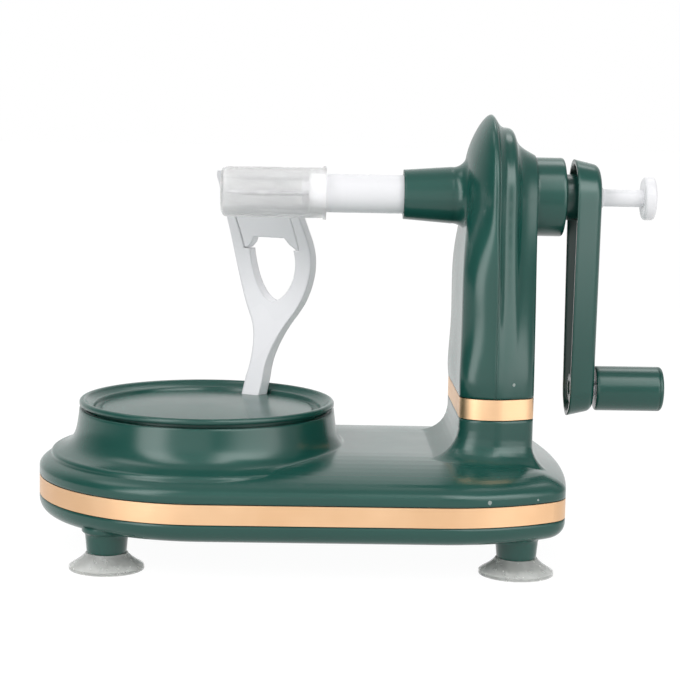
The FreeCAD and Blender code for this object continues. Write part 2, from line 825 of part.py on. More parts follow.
def make_compound_gear():
    step = 180.0 / compound_teeth
    wheel = spur_gear(compound_teeth, step, compound_x, lower_gear_z, lower_gear_z + gear_width)
    mesh = 180.0 / pinion_teeth
    pinion = spur_gear(pinion_teeth, mesh, compound_x, lower_gear_z + gear_width - 0.5, compound_top_z)
    recess = ring(26, 10, compound_x, lower_gear_z + gear_width - 1.5, lower_gear_z + gear_width + 1)
    gear = wheel.cut(recess).fuse(pinion)
    return gear.cut(upright(pin_radius + running_gap, compound_x, 0, 0, 100))


def make_idler_gear():
    gear = spur_gear(idler_teeth, 0, idler_x, lower_gear_z, lower_gear_z + gear_width)
    gear = gear.fuse(upright(gear_hub_radius, idler_x, 0, lower_gear_z, idler_top_z))
    return gear.cut(upright(pin_radius + running_gap, idler_x, 0, 0, 100))


def make_shaft_pinion():
    mesh = 180.0 / pinion_teeth
    gear = spur_gear(pinion_teeth, mesh, shaft_x, lower_gear_z, lower_gear_z + gear_width)
    hub_low = lower_gear_z + gear_width - 0.5
    gear = gear.fuse(upright(gear_hub_radius, shaft_x, 0, hub_low, hub_low + 2 * gear_hub_rise))
    return gear.cut(upright(shaft_radius + press_gap, shaft_x, 0, 0, 100))


def make_shaft_bevel():
    gear = bevel_gear(0)
    gear.translate(vec(shaft_x, 0, spindle_height))
    back = spindle_height - bevel_radius
    gear = gear.fuse(upright(bevel_radius - 1.8, shaft_x, 0, back - 2, back + 0.2))
    hub_low = bracket_z + bracket_thickness + 1.0 + moving_gap
    gear = gear.fuse(upright(gear_hub_radius, shaft_x, 0, hub_low, back - 1.5))
    return gear.cut(upright(shaft_radius + press_gap, shaft_x, 0, 0, 200))


def make_spindle_bevel():
    gear = bevel_gear(180.0 / bevel_teeth)
    gear.rotate(origin, along_y, -90)
    gear.translate(vec(shaft_x, 0, spindle_height))
    back = shaft_x + bevel_radius
    gear = gear.fuse(level(bevel_radius - 1.8, back - 0.2, back + 2.6))
    return gear.cut(level(journal_radius + press_gap, shaft_x, shaft_x + 30))


def make_drive_shaft():
    return upright(shaft_radius, shaft_x, 0, shaft_foot_z, spindle_height - bevel_radius + 3.0)


# Spindle pieces

def make_spindle_tube():
    socket_end = tube_start + fork_socket_depth
    outline = [(tube_start, fork_socket_radius), (tube_start, tube_radius), (tube_end, tube_radius),
               (tube_end, journal_radius), (journal_end, journal_radius), (journal_end, rod_bore),
               (tube_end - 3, rod_bore), (tube_end - 3, tube_bore), (socket_end, tube_bore),
               (socket_end, fork_socket_radius)]
    return turned_on_spindle(outline)


def prong_places():
    step = 360.0 / prong_count
    return [math.radians(index * step) for index in range(prong_count)]


def make_prong(angle):
    y = prong_circle * math.cos(angle)
    z = spindle_height + prong_circle * math.sin(angle)
    root = tube_start + fork_socket_depth - 2.0
    body = level(prong_radius, prong_tip_x + prong_taper, root, y, z)
    tip_place = vec(prong_tip_x, y, z)
    tip = Part.makeCone(0.15, prong_radius, prong_taper, tip_place, along_x)
    return body.fuse(tip)


def make_fork_hub():
    start = tube_start + 0.5
    end = tube_start + fork_socket_depth - seat_gap
    hub = level(fork_socket_radius - press_gap, start, end)
    hub = hub.cut(level(rod_radius + running_gap, start - 1, end + 1))
    for angle in prong_places():
        y = prong_circle * math.cos(angle)
        z = spindle_height + prong_circle * math.sin(angle)
        hub = hub.cut(level(prong_radius + press_gap, start - 1, end - 1.8 + press_gap, y, z))
    return hub


def make_push_rod():
    return level(rod_radius, tube_start - 1.0, button_start + 3.0)


def make_ejector_plate():
    end = tube_start
    plate = level(ejector_radius, end - ejector_thickness, end)
    return plate.cut(level(rod_radius + press_gap, tube_start - 1.0 - press_gap, end + 1))


def make_push_button():
    button = level(button_radius, button_start, button_start + button_thickness)
    button = button.makeFillet(button_edge, edges_where(button, lambda edge: edge.Length > 1.0))
    return button.cut(level(rod_radius + press_gap, button_start - 1, button_start + 3.0 + press_gap))


def make_rod_bush():
    end = crank_face_x + rod_bush_proud
    return level(rod_bush_radius, rod_bush_start, end).cut(
        level(rod_radius + running_gap, rod_bush_start - 1, end + 1))


def make_cap():
    mouth = cap_end - cap_mouth_length
    grip = tube_radius + running_gap
    inner = cap_radius - cap_wall
    flange = cap_end - cap_flange_thickness
    outline = [(cap_start, 0), (cap_start, cap_radius), (flange, cap_radius + 0.1),
               (flange, cap_flange_radius), (cap_end, cap_flange_radius),
               (cap_end, grip), (mouth, grip), (mouth, inner),
               (cap_start + cap_wall + 0.2, inner), (cap_start + cap_wall + 0.2, 0)]
    cap = turned_on_spindle(outline)
    nose = edges_where(cap, lambda edge: lies_at(edge, 0, cap_start) and edge.Length > 10)
    return cap.makeFillet(cap_edge, nose)


# Crank pieces

def crank_outline(inset, x):
    """Outline of the crank arm in the plane across X: two round ends and two tangents."""
    big = crank_top_radius - inset
    small = crank_low_radius - inset
    slope = math.asin((big - small) / crank_length)

    def point(radius, z, angle):
        return vec(x, radius * math.cos(angle), z + radius * math.sin(angle))

    top_near = point(big, spindle_height, math.pi + slope)
    top_far = point(big, spindle_height, -slope)
    low_near = point(small, handle_z, math.pi + slope)
    low_far = point(small, handle_z, -slope)
    edges = [
        Part.Arc(top_far, point(big, spindle_height, math.pi / 2), top_near).toShape(),
        Part.makeLine(top_near, low_near),
        Part.Arc(low_near, point(small, handle_z, -math.pi / 2), low_far).toShape(),
        Part.makeLine(low_far, top_far),
    ]
    return Part.Wire(edges)


def crank_block(inset, start, end):
    """The crank arm's form between two places: it grows slimmer towards its outer face."""
    slope = crank_taper / (crank_face_x - crank_open_x)
    wide = crank_outline(inset + slope * (start - crank_open_x), start)
    slim = crank_outline(inset + slope * (end - crank_open_x), end)
    return Part.makeLoft([wide, slim], True, True)


def make_crank_arm():
    arm = crank_block(0, crank_open_x, crank_face_x)
    outer_edges = edges_where(arm, lambda edge: lies_at(edge, 0, crank_face_x))
    arm = arm.makeFillet(crank_edge, outer_edges)
    inner_x = crank_face_x - crank_wall
    arm = arm.cut(crank_block(crank_wall, crank_open_x - 1, inner_x))
    arm = arm.fuse(level(crank_hub_radius, crank_hub_x, inner_x + 0.5))
    arm = arm.fuse(level(crank_pin_boss, crank_open_x + 1, inner_x + 0.5, 0, handle_z))
    rib_top = spindle_height - crank_hub_radius + 1
    rib_low = handle_z + crank_pin_boss - 1
    rib = Part.makeBox(inner_x - crank_open_x - 2, 1.8, rib_top - rib_low,
                       vec(crank_open_x + 2.5, -0.9, rib_low))
    arm = arm.fuse(rib)
    arm = arm.cut(level(journal_radius + press_gap, crank_hub_x - 1, rod_bush_start))
    arm = arm.cut(level(rod_bush_radius + press_gap, crank_hub_x - 1, crank_face_x + 1))
    arm = arm.cut(level(handle_pin_radius + press_gap, crank_open_x, crank_face_x + 1, 0, handle_z))
    screw_z = spindle_height - journal_radius
    return arm.cut(Part.makeCylinder(screw_radius + press_gap, crank_hub_radius,
                                     vec(set_screw_x, 0, screw_z), vec(0, 0, -1)))


def make_crank_set_screw():
    top = spindle_height - journal_radius - press_gap
    return upright(screw_radius, set_screw_x, 0, top - set_screw_length, top)


def make_handle_pin():
    head_end = handle_cap_x - 2.0
    head_start = head_end - handle_pin_head_thickness
    pin = level(handle_pin_radius, crank_open_x + 1.5, head_end - 0.2, 0, handle_z)
    return pin.fuse(level(handle_pin_head, head_start, head_end, 0, handle_z))


def make_handle_grip():
    grip = level(handle_radius, handle_start, handle_cap_x - press_gap, 0, handle_z)
    near_edge = edges_where(grip, lambda edge: lies_at(edge, 0, handle_start))
    grip = grip.makeFillet(0.8, near_edge)
    grip = grip.cut(level(handle_pin_radius + running_gap, handle_start - 1, handle_cap_x, 0, handle_z))
    pocket_start = handle_cap_x - handle_pocket_depth
    return grip.cut(level(handle_pocket, pocket_start, handle_cap_x + 1, 0, handle_z))


def make_handle_end_cap():
    lid = level(handle_radius, handle_cap_x, handle_end, 0, handle_z)
    rim = edges_where(lid, lambda edge: lies_at(edge, 0, handle_end))
    lid = lid.makeFillet(handle_edge, rim)
    return lid.fuse(level(handle_pocket - press_gap, handle_cap_x - 1.6, handle_cap_x + 0.5, 0, handle_z))


# Tray pieces

def to_arm(shape):
    """Turn a shape from the X axis to the arm's direction on the tray."""
    shape.rotate(origin, up, arm_azimuth)
    return shape


def make_tray_rim():
    """The rounded bead along the tray's edge."""
    inner = vec(tray_inner_radius, 0, tray_top_z - 1.0)
    crest = vec((tray_inner_radius + tray_radius) / 2, 0, tray_top_z)
    outer = vec(tray_radius, 0, tray_top_z - 1.0)
    low_outer = vec(outer.x, 0, tray_lip_z + 0.5)
    low_inner = vec(inner.x, 0, tray_lip_z + 0.5)
    edges = [Part.Arc(inner, crest, outer).toShape(), Part.makeLine(outer, low_outer),
             Part.makeLine(low_outer, low_inner), Part.makeLine(low_inner, inner)]
    return Part.Face(Part.Wire(edges)).revolve(origin, up, 360)


def make_tray_dome():
    """The slightly domed plate in the middle of the tray."""
    crown = vec(0, 0, tray_crown_z)
    middle = vec(tray_floor_radius / 2, 0, tray_crown_z - (tray_crown_z - tray_floor_z) / 4)
    edge = vec(tray_floor_radius, 0, tray_floor_z)
    low_edge = vec(tray_floor_radius + 0.3, 0, tray_trough_z - 0.5)
    low_middle = vec(0, 0, tray_trough_z - 0.5)
    edges = [Part.Arc(crown, middle, edge).toShape(), Part.makeLine(edge, low_edge),
             Part.makeLine(low_edge, low_middle), Part.makeLine(low_middle, crown)]
    return Part.Face(Part.Wire(edges)).revolve(origin, up, 360)


def make_tray():
    outline = [(0, tray_trough_z), (tray_step_radius - 0.8, tray_trough_z),
               (tray_step_radius, tray_step_z), (tray_step_radius + 1.2, tray_step_z + 0.2),
               (tray_inner_radius, tray_top_z - 1.0), (tray_radius, tray_top_z - 1.0),
               (tray_radius, tray_lip_z), (tray_neck_radius, tray_lip_z),
               (tray_neck_radius, tray_neck_bottom), (tray_neck_radius - 2.0, tray_neck_bottom),
               (tray_neck_radius - 2.0, tray_under_z - 1.4), (tray_floor_radius, tray_under_z),
               (0, tray_under_z)]
    tray = turned_on_tray(outline).fuse(make_tray_rim()).fuse(make_tray_dome()).removeSplitter()
    tray = tray.fuse(upright(tray_hub_radius, 0, 0, tray_hub_bottom, tray_under_z + 0.5))
    tray = tray.cut(upright(post_radius + running_gap, 0, 0, 0, post_top + 0.1))
    for angle in tray_screw_angles:
        x = tray_boss_circle * math.cos(math.radians(angle))
        y = tray_boss_circle * math.sin(math.radians(angle))
        low = tray_gear_z + tray_gear_web + 1.0
        tray = tray.fuse(upright(tray_boss_radius, x, y, low, tray_under_z + 0.5))
        tray = tray.cut(upright(screw_pilot, x, y, low, low + 10))
    for side in (-1, 1):
        middle = side * (arm_foot_half + moving_gap + lug_thickness / 2)
        lug = Part.makeBox(9.0, lug_thickness, tray_under_z + 0.5 - arm_foot_z,
                           vec(arm_pivot_radius - 4.5, middle - lug_thickness / 2, arm_foot_z))
        tray = tray.fuse(to_arm(lug))
    slot_low = arm_inner_radius(tray_under_z) - arm_slot_inner
    slot_high = arm_inner_radius(tray_floor_z) + arm_foot_depth + arm_slot_outer
    slot_half = arm_foot_half + arm_slot_side
    slot = Part.makeBox(slot_high - slot_low, 2 * slot_half, 10,
                        vec(slot_low, -slot_half, tray_under_z - 1))
    pin_hole = across(arm_pin_radius + press_gap, arm_pivot_radius, arm_pivot_z, -20, 20)
    return tray.cut(to_arm(slot)).cut(to_arm(pin_hole))


def make_tray_gear():
    gear = spur_gear(tray_gear_teeth, 0, 0, tray_gear_z, tray_gear_z + tray_gear_width)
    inside = tray_gear_radius - tray_gear_rim
    room = upright(inside, 0, 0, tray_gear_z + tray_gear_web + 1, tray_gear_z + 20)
    gear = gear.cut(room).cut(upright(inside, 0, 0, 0, tray_gear_z + 1))
    gear = gear.fuse(upright(tray_hub_radius + 3, 0, 0, tray_gear_z, tray_gear_z + 12))
    gear = gear.cut(upright(post_radius + running_gap, 0, 0, 0, 100))
    gear = gear.cut(upright(tray_hub_radius + press_gap, 0, 0, tray_hub_bottom - press_gap, 100))
    for angle in tray_screw_angles:
        x = tray_boss_circle * math.cos(math.radians(angle))
        y = tray_boss_circle * math.sin(math.radians(angle))
        gear = gear.cut(upright(screw_radius + seat_gap, x, y, 0, 100))
    return gear


def make_tray_screws():
    screws = []
    for angle in tray_screw_angles:
        x = tray_boss_circle * math.cos(math.radians(angle))
        y = tray_boss_circle * math.sin(math.radians(angle))
        low = tray_gear_z + 1.0 - screw_head_height
        head = upright(screw_head_radius, x, y, low, low + screw_head_height - press_gap)
        screws.append(head.fuse(upright(screw_pilot - press_gap, x, y, low + 1, low + 13)))
    return Part.makeCompound(screws)


def make_post():
    post = upright(post_shoulder_radius, 0, 0, cover_inside_z, tray_gear_z - seat_gap)
    return post.fuse(upright(post_radius, 0, 0, cover_inside_z, post_top))


# Peeling arm pieces

def smooth(points):
    curve = Part.BSplineCurve()
    curve.interpolate(points)
    return curve


def arm_inner_radius(z):
    """Radius of the arm's inner face at a height, read from the bow's straight stretches."""
    for (low_radius, low), (high_radius, high) in zip(arm_bow, arm_bow[1:]):
        if low <= z <= high:
            return low_radius + (high_radius - low_radius) * (z - low) / (high - low)
    return arm_bow[-1][0]


def arm_depth(z):
    """Thickness of the arm along the radius: thick at its foot, slim at its head."""
    share = min(max((z - 62.0) / (118.0 - 62.0), 0.0), 1.0)
    return arm_foot_depth + (arm_head_depth - arm_foot_depth) * share


def bow_solid(inset, width):
    """The bowed sheet that the arm and the blade carrier are cut from."""
    inner = [vec(radius + inset, -width, z) for radius, z in arm_bow]
    outer = [vec(radius + arm_depth(z) - inset, -width, z) for radius, z in arm_bow]
    outer.reverse()
    edges = [smooth(inner).toShape(), Part.makeLine(inner[-1], outer[0]),
             smooth(outer).toShape(), Part.makeLine(outer[-1], inner[0])]
    return Part.Face(Part.Wire(edges)).extrude(vec(0, 2 * width, 0))


def mirrored_outline(points, curved):
    """A closed wire symmetric about Y = 0, from its right half as lists of points per edge."""
    edges = []
    for side in (1, -1):
        for stretch, bent in zip(points, curved):
            places = [vec(20, side * y, z) for y, z in stretch]
            if bent:
                edges.append(smooth(places).toShape())
            else:
                edges += [Part.makeLine(a, b) for a, b in zip(places, places[1:])]
    return Part.Wire(Part.sortEdges(edges)[0])


def make_peeler_arm():
    foot = [(0, arm_foot_z), (arm_foot_half, arm_foot_z), arm_side[0]]
    top = [arm_side[-1], (arm_top_half, arm_top_z - 2.0), (arm_top_half - 1.2, arm_top_z),
           (carrier_seat_half + 0.8, arm_top_z), (carrier_seat_half, arm_top_z - 1.0),
           (carrier_seat_half, window_ledge_z), window_side[0]]
    wire = mirrored_outline([foot, arm_side, top, window_side], [False, True, False, True])
    block = Part.Face(wire).extrude(vec(60, 0, 0))
    arm = bow_solid(0, 30).common(block)
    arm = arm.cut(across(arm_pin_radius + running_gap, arm_pivot_radius, arm_pivot_z, -20, 20))
    reach = arm_head_half - 1.0
    pin_hole = carrier_pin_radius + press_gap
    return arm.cut(across(pin_hole, carrier_pivot_x(), carrier_pivot_z, -reach, reach))


def carrier_pivot_x():
    return arm_inner_radius(carrier_pivot_z) + arm_head_depth / 2


def make_blade_carrier():
    outer = carrier_seat_half - carrier_gap
    side = [(0, carrier_panel_z), (carrier_post_half - 3.0, carrier_panel_z),
            (carrier_post_half - 1.4, carrier_panel_z - 2.6), (outer - 1.6, carrier_bottom_z),
            (outer, carrier_bottom_z), (outer, carrier_top_z), (carrier_post_half, carrier_top_z),
            (carrier_post_half, carrier_panel_top), (0, carrier_panel_top)]
    wire = mirrored_outline([side], [False])
    block = Part.Face(wire).extrude(vec(60, 0, 0))
    carrier = bow_solid(carrier_inset, 30).common(block)
    bore = carrier_pin_radius + running_gap
    bore_start = carrier_post_half - 1.4
    carrier = carrier.cut(across(bore, carrier_pivot_x(), carrier_pivot_z, -outer - 1, -bore_start))
    carrier = carrier.cut(across(bore, carrier_pivot_x(), carrier_pivot_z, bore_start, outer + 1))
    slit_half = carrier_post_half + 1.0 + press_gap
    slit = blade_block(slit_half, blade_height + 2 * press_gap, blade_thickness + 2 * press_gap)
    return carrier.cut(slit)


def blade_block(half, height, thickness):
    """A flat strip at the blade's place, leaning with the head of the arm."""
    strip = Part.makeBox(thickness, 2 * half, height, vec(-thickness / 2, -half, -height / 2))
    strip.rotate(origin, along_y, -blade_lean)
    strip.translate(vec(arm_inner_radius(blade_z) + 1.6, 0, blade_z))
    return strip


def make_blade():
    strip = blade_block(carrier_post_half + 1.0, blade_height, blade_thickness)
    slit = blade_block(carrier_post_half - 2.0, blade_slot, blade_thickness + 2)
    return strip.cut(slit)


def make_carrier_pins():
    inner = carrier_post_half - 1.2
    outer = arm_head_half - 1.2
    near = across(carrier_pin_radius, carrier_pivot_x(), carrier_pivot_z, -outer, -inner)
    far = across(carrier_pin_radius, carrier_pivot_x(), carrier_pivot_z, inner, outer)
    return Part.makeCompound([near, far])


def make_arm_pin():
    lug_face = arm_foot_half + moving_gap + lug_thickness
    near_end = -lug_face - spring_length - 1.0
    return across(arm_pin_radius, arm_pivot_radius, arm_pivot_z, near_end, lug_face + 0.5)


def make_arm_spring():
    """A coil wound about the arm's pin, beside the near lug."""
    coil_length = spring_length - 2 * spring_wire_radius
    path = Part.Wire(Part.makeHelix(spring_pitch, coil_length, spring_coil_radius))
    section = Part.Wire(Part.makeCircle(spring_wire_radius, vec(spring_coil_radius, 0, 0), along_y))
    coil = path.makePipeShell([section], True, True)
    coil.rotate(origin, along_x, 90)
    lug_face = arm_foot_half + moving_gap + lug_thickness
    coil.translate(vec(arm_pivot_radius, -lug_face - spring_wire_radius, arm_pivot_z))
    return coil


# Write every piece
save("base_bottom_cover", make_bottom_cover())
save("base_top_housing", make_top_housing())
save("base_trim_band", make_base_band())
cup_names = ("front_left", "rear_left", "front_right", "rear_right")
for cup_name, (cup_x, cup_y) in zip(cup_names, feet_places()):
    save("suction_cup_" + cup_name, make_suction_cup(cup_x, cup_y))
save("base_screws", make_base_screws())
save("column_trim_band", make_column_band())
save("column_front_shell", make_column_shell(True))
save("column_rear_shell", make_column_shell(False))
save("column_screws", make_column_screws())
save("shaft_bracket", make_shaft_bracket())
save("lower_shaft_bush", ring(shaft_bush_radius, shaft_radius + running_gap, shaft_x,
                              cover_inside_z + press_gap, lower_gear_z - moving_gap))
save("upper_shaft_bush", ring(shaft_bush_radius, shaft_radius + running_gap, shaft_x,
                              bracket_z - 1, bracket_z + bracket_thickness + 1))
save("compound_pin", upright(pin_radius, compound_x, 0, cover_inside_z, pin_top))
save("idler_pin", upright(pin_radius, idler_x, 0, cover_inside_z, pin_top))
save("tray_post", make_post())
save("front_spindle_bush", make_front_bush())
save("rear_spindle_bush", make_rear_bush())
save("drive_shaft", make_drive_shaft())
save("shaft_bevel_gear", make_shaft_bevel())
save("shaft_pinion", make_shaft_pinion())
save("idler_gear", make_idler_gear())
save("compound_gear", make_compound_gear())
save("turntable_gear", make_tray_gear())
save("turntable_tray", make_tray())
save("turntable_screws", make_tray_screws())
save("arm_pivot_pin", to_arm(make_arm_pin()))
save("arm_torsion_spring", to_arm(make_arm_spring()))
save("peeler_arm", to_arm(make_peeler_arm()))
save("blade_carrier", to_arm(make_blade_carrier()))
save("peeler_blade", to_arm(make_blade()))
save("carrier_pins", to_arm(make_carrier_pins()))
save("spindle_tube", make_spindle_tube())
save("spindle_bevel_gear", make_spindle_bevel())
save("fork_hub", make_fork_hub())
for number, prong_angle in enumerate(prong_places(), start=1):
    save("fork_prong_" + str(number), make_prong(prong_angle))
save("push_rod", make_push_rod())
save("ejector_plate", make_ejector_plate())
save("push_button", make_push_button())
save("rod_bush", make_rod_bush())
save("protective_cap", make_cap())
save("crank_arm", make_crank_arm())
save("crank_set_screw", make_crank_set_screw())
save("handle_pin", make_handle_pin())
save("handle_grip", make_handle_grip())
save("handle_end_cap", make_handle_end_cap())
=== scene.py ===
import bpy
import json
import math
from mathutils import Matrix, Vector

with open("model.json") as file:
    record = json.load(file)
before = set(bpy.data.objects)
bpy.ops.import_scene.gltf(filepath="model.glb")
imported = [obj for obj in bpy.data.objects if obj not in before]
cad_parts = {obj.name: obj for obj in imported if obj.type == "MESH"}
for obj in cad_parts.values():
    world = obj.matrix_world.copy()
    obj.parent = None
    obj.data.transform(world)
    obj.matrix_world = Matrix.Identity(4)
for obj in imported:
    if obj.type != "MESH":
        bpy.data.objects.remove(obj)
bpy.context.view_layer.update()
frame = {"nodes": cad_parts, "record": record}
nodes = frame["nodes"]

UP = Vector((0, 0, 1))


# Node helpers

def new_tree(name):
    """A material with an empty tree, its shader and its output."""
    material = bpy.data.materials.new(name)
    material.use_nodes = True
    tree = material.node_tree
    tree.nodes.clear()
    output = tree.nodes.new("ShaderNodeOutputMaterial")
    shader = tree.nodes.new("ShaderNodeBsdfPrincipled")
    tree.links.new(shader.outputs["BSDF"], output.inputs["Surface"])
    return material, tree, shader


def place_coordinates(tree, stretch=(1, 1, 1)):
    """Object coordinates in millimetres, so that every pattern has a real size."""
    where = tree.nodes.new("ShaderNodeTexCoord")
    scale = tree.nodes.new("ShaderNodeMapping")
    scale.inputs["Scale"].default_value = [1000 * value for value in stretch]
    tree.links.new(where.outputs["Object"], scale.inputs["Vector"])
    return scale.outputs["Vector"]


def noise(tree, where, size, detail=2.0, rough=0.5):
    """Noise whose blotches are about this many millimetres across."""
    node = tree.nodes.new("ShaderNodeTexNoise")
    node.inputs["Scale"].default_value = 1.0 / size
    node.inputs["Detail"].default_value = detail
    node.inputs["Roughness"].default_value = rough
    tree.links.new(where, node.inputs["Vector"])
    return node.outputs["Fac"]


def spread(tree, value, low, high, out_low, out_high):
    """The value's range from low to high stretched over another range."""
    node = tree.nodes.new("ShaderNodeMapRange")
    node.inputs["From Min"].default_value = low
    node.inputs["From Max"].default_value = high
    node.inputs["To Min"].default_value = out_low
    node.inputs["To Max"].default_value = out_high
    tree.links.new(value, node.inputs["Value"])
    return node.outputs["Result"]


def blend_colours(tree, share, first, second):
    node = tree.nodes.new("ShaderNodeMix")
    node.data_type = "RGBA"
    for socket, colour in ((node.inputs[6], first), (node.inputs[7], second)):
        if isinstance(colour, tuple):
            socket.default_value = (*colour, 1.0)
        else:
            tree.links.new(colour, socket)
    tree.links.new(share, node.inputs["Factor"])
    return node.outputs[2]


def calculate(tree, operation, first, second):
    """One sum on two values, each a socket or a plain number."""
    node = tree.nodes.new("ShaderNodeMath")
    node.operation = operation
    for socket, value in zip(node.inputs, (first, second)):
        if isinstance(value, (int, float)):
            socket.default_value = value
        else:
            tree.links.new(value, socket)
    return node.outputs["Value"]


def relief(tree, height, strength, distance, edge=0.0):
    """A bump, and edges that look rounded over by this radius in metres."""
    bump = tree.nodes.new("ShaderNodeBump")
    bump.inputs["Strength"].default_value = strength
    bump.inputs["Distance"].default_value = distance
    tree.links.new(height, bump.inputs["Height"])
    if edge:
        rounded = tree.nodes.new("ShaderNodeBevel")
        rounded.samples = 8
        rounded.inputs["Radius"].default_value = edge
        tree.links.new(rounded.outputs["Normal"], bump.inputs["Normal"])
    return bump.outputs["Normal"]


# Materials

def chip_share(tree, where, chips):
    """1 inside small ragged chips, given as (x, y, z, radius) in millimetres, and 0 elsewhere."""
    ragged = noise(tree, where, 0.9, 3.0)
    total = 0.0
    for x, y, z, radius in chips:
        gap = tree.nodes.new("ShaderNodeVectorMath")
        gap.operation = "DISTANCE"
        gap.inputs[1].default_value = (x, y, z)
        tree.links.new(where, gap.inputs[0])
        rough_gap = calculate(tree, "ADD", gap.outputs["Value"], calculate(tree, "MULTIPLY", ragged, radius))
        inside = spread(tree, rough_gap, radius * 1.35, radius * 1.5, 1.0, 0.0)
        total = calculate(tree, "MAXIMUM", total, inside)
    return total


def moulded_plastic(name, deep, pale, rough_low, rough_high, edge, chips=(), sheen=0.5):
    """Moulded plastic: slow shade changes, satin sheen, a faint orange peel and worn spots."""
    material, tree, shader = new_tree(name)
    where = place_coordinates(tree)
    broad = noise(tree, where, 60.0, 2.0)
    colour = blend_colours(tree, spread(tree, broad, 0.3, 0.7, 0.0, 1.0), deep, pale)
    wear = noise(tree, where, 30.0, 2.0)
    rough = spread(tree, wear, 0.3, 0.7, rough_low, rough_high)
    if chips:
        share = chip_share(tree, where, chips)
        colour = blend_colours(tree, share, colour, (0.30, 0.36, 0.34))
        rough = calculate(tree, "MAXIMUM", rough, calculate(tree, "MULTIPLY", share, 0.6))
    tree.links.new(colour, shader.inputs["Base Color"])
    tree.links.new(rough, shader.inputs["Roughness"])
    peel = noise(tree, where, 0.6, 1.0)
    tree.links.new(relief(tree, peel, 0.03, 0.0002, edge), shader.inputs["Normal"])
    shader.inputs["IOR"].default_value = 1.5
    shader.inputs["Specular IOR Level"].default_value = sheen
    return material


def brushed_metal(name, tint, shade, rough_low, rough_high, stretch, grain=0.35):
    """Metal with fine brush lines that run along the axis whose stretch is small."""
    material, tree, shader = new_tree(name)
    lines = noise(tree, place_coordinates(tree, stretch), grain, 3.0)
    cloud = noise(tree, place_coordinates(tree), 22.0, 2.0)
    share = spread(tree, cloud, 0.35, 0.65, 0.0, 1.0)
    tree.links.new(blend_colours(tree, share, shade, tint), shader.inputs["Base Color"])
    tree.links.new(spread(tree, lines, 0.3, 0.7, rough_low, rough_high), shader.inputs["Roughness"])
    tree.links.new(relief(tree, lines, 0.12, 0.0001), shader.inputs["Normal"])
    shader.inputs["Metallic"].default_value = 1.0
    return material


def clear_plastic(name, tint, deep, rough_low, rough_high, weight, ior, ripple, solid):
    """See-through plastic with a cloudy tint and slightly uneven skin."""
    material, tree, shader = new_tree(name)
    where = place_coordinates(tree)
    cloud = noise(tree, where, 7.0, 3.0)
    colour = blend_colours(tree, spread(tree, cloud, 0.35, 0.65, 0.0, 1.0), deep, tint)
    tree.links.new(colour, shader.inputs["Base Color"])
    haze = noise(tree, where, 2.2, 3.0)
    tree.links.new(spread(tree, haze, 0.3, 0.7, rough_low, rough_high), shader.inputs["Roughness"])
    skin = noise(tree, where, ripple, 2.0)
    tree.links.new(relief(tree, skin, 0.1, 0.0002), shader.inputs["Normal"])
    shader.inputs["Transmission Weight"].default_value = weight
    shader.inputs["IOR"].default_value = ior
    shader.inputs["Alpha"].default_value = solid
    return material


# Worn spots on the green mouldings: x, y, z and radius in millimetres.
chips = ((64.4, -35.9, 75.2, 0.7), (52.7, -67.8, 33.4, 0.9), (72.6, -60.1, 33.2, 0.5))

green = moulded_plastic("green_moulded", (0.007, 0.066, 0.052), (0.010, 0.078, 0.062),
                        0.20, 0.25, 0.0016, chips)
white = moulded_plastic("white_moulded", (0.86, 0.86, 0.885), (0.89, 0.89, 0.91),
                        0.24, 0.32, 0.0014, sheen=0.2)
acetal = moulded_plastic("acetal_moulded", (0.72, 0.71, 0.66), (0.80, 0.79, 0.74), 0.4, 0.5, 0.0003)
gold = brushed_metal("trim_rose_gold", (0.79, 0.52, 0.31), (0.74, 0.47, 0.27), 0.34, 0.44,
                     (0.02, 0.02, 1.0))
steel = brushed_metal("steel_satin", (0.62, 0.62, 0.64), (0.52, 0.52, 0.54), 0.2, 0.36,
                      (0.06, 1.0, 1.0))
frosted = clear_plastic("cap_frosted", (0.97, 0.97, 0.97), (0.94, 0.94, 0.94), 0.18, 0.26,
                        0.75, 1.35, 1.2, 0.85)
clear = clear_plastic("cup_clear", (0.78, 0.79, 0.77), (0.68, 0.69, 0.67), 0.15, 0.3,
                      0.55, 1.42, 2.0, 1.0)

finish_of = {
    "green_plastic": green,
    "white_plastic": white,
    "gear_plastic": acetal,
    "trim_gold": gold,
    "steel": steel,
    "cap_frosted": frosted,
    "cup_clear": clear,
}


def dress(obj, material, angle=32.0):
    """Gives a piece its material, and smooth shading up to this angle."""
    obj.data.materials.clear()
    obj.data.materials.append(material)
    for polygon in obj.data.polygons:
        polygon.use_smooth = True
    obj.data.set_sharp_from_angle(angle=math.radians(angle))


for entry in frame["record"]["subparts"]:
    piece = nodes[entry["node"]]
    dress(piece, finish_of[entry["material_slot"]])


# Floor, world and lamps

